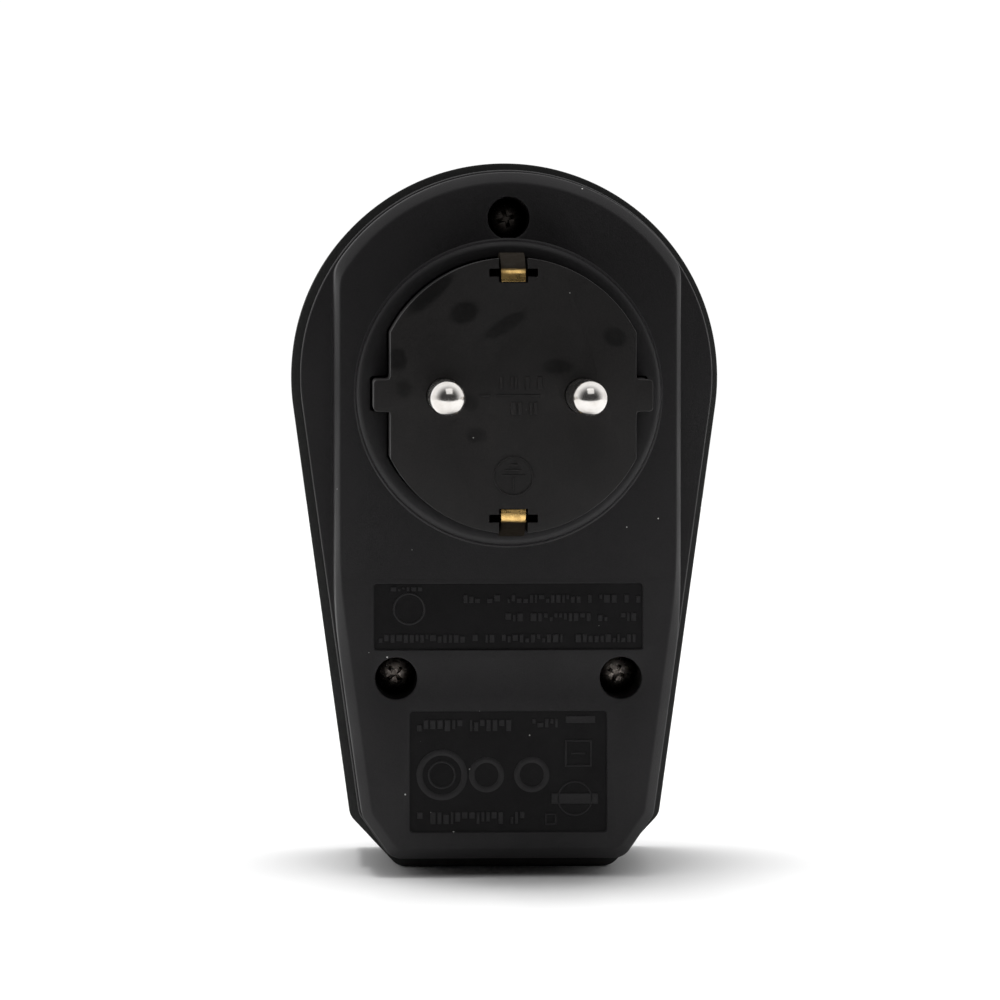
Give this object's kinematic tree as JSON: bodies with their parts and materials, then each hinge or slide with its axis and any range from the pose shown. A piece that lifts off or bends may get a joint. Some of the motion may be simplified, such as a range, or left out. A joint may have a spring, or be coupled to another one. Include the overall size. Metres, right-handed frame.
{
  "type": "smart plug",
  "caption": "Round-headed black smart plug: two round pins and side earth contacts at the back, recessed earthed socket with shutter, push button and light at the front.",
  "frame": {"origin": "centre of the plug's face, midway between the two pins", "axes": "pins point to -Y, socket opens to +Y, +Z towards the round head, +X to the right when the pins face the viewer"},
  "size_m": [0.0612, 0.078, 0.101],
  "materials": {
    "shell_black": "fine spark-eroded moulded texture, matte black",
    "rim_black": "coarser moulded texture, matte black",
    "boss_black": "fine moulded texture with handling smudges",
    "cup_black": "satin moulded black",
    "nickel": "bright nickel plate",
    "brass": "stamped spring brass",
    "blackened_steel": "black oxide",
    "spring_steel": "drawn wire",
    "carrier_grey": "glass-filled moulding, off-white",
    "lead_brown": "PVC insulation",
    "lead_blue": "PVC insulation",
    "board_green": "solder mask",
    "relay_black": "moulded case",
    "capacitor_yellow": "moulded case",
    "varistor_blue": "dipped epoxy",
    "fuse_ceramic": "glazed tube",
    "ferrite": "sintered ferrite",
    "bobbin_yellow": "taped winding",
    "can_sleeve": "shrink sleeve",
    "tinned": "tin plate",
    "chip_black": "moulded epoxy",
    "clear_plastic": "translucent moulding",
    "button_black": "satin moulded black"
  },
  "bodies": {
    "housing": {"rear_shell": "shell_black", "front_shell": "rim_black", "plug_boss": "boss_black", "line_pin": "nickel", "neutral_pin": "nickel", "earth_strap_upper": "brass", "earth_strap_lower": "brass", "earth_bridge": "brass", "line_tab": "brass", "neutral_busbar": "brass", "line_contact": "brass", "neutral_contact": "brass", "housing_screw_top": "blackened_steel", "housing_screw_left": "blackened_steel", "housing_screw_right": "blackened_steel", "socket_cup": "cup_black", "contact_carrier": "carrier_grey", "shutter_pivot": "spring_steel", "shutter_spring": "spring_steel", "line_lead": "lead_brown", "switched_lead": "lead_brown", "neutral_lead": "lead_blue", "main_board": "board_green", "radio_board": "board_green", "board_screw_left": "tinned", "board_screw_right": "tinned", "radio_can": "tinned", "antenna_wire": "tinned", "relay": "relay_black", "film_capacitor": "capacitor_yellow", "varistor": "varistor_blue", "fuse": "fuse_ceramic", "bridge_rectifier": "chip_black", "filter_choke": "ferrite", "transformer_core": "ferrite", "transformer_bobbin": "bobbin_yellow", "bulk_capacitor_1": "can_sleeve", "bulk_capacitor_2": "can_sleeve", "controller_chip": "chip_black", "status_led": "clear_plastic", "light_pipe": "clear_plastic", "tact_switch": "chip_black"},
    "shutter": {"shutter_disc": "carrier_grey"},
    "button": {"button_cap": "button_black", "switch_plunger": "clear_plastic"}
  },
  "joints": [
    {"name": "shutter_turn", "type": "hinge", "parent": "housing", "child": "shutter", "pos_m": [0, 0.0372, 0], "axis": [0, 1, 0], "range_deg": [0, 26], "stiffness_Nm_per_rad": 0.004, "springref_deg": -17.19},
    {"name": "button_press", "type": "slide", "parent": "housing", "child": "button", "axis": [0, -1, 0], "range_m": [0, 0.0008], "stiffness_N_per_m": 500, "springref_m": -0.002}
  ]
}
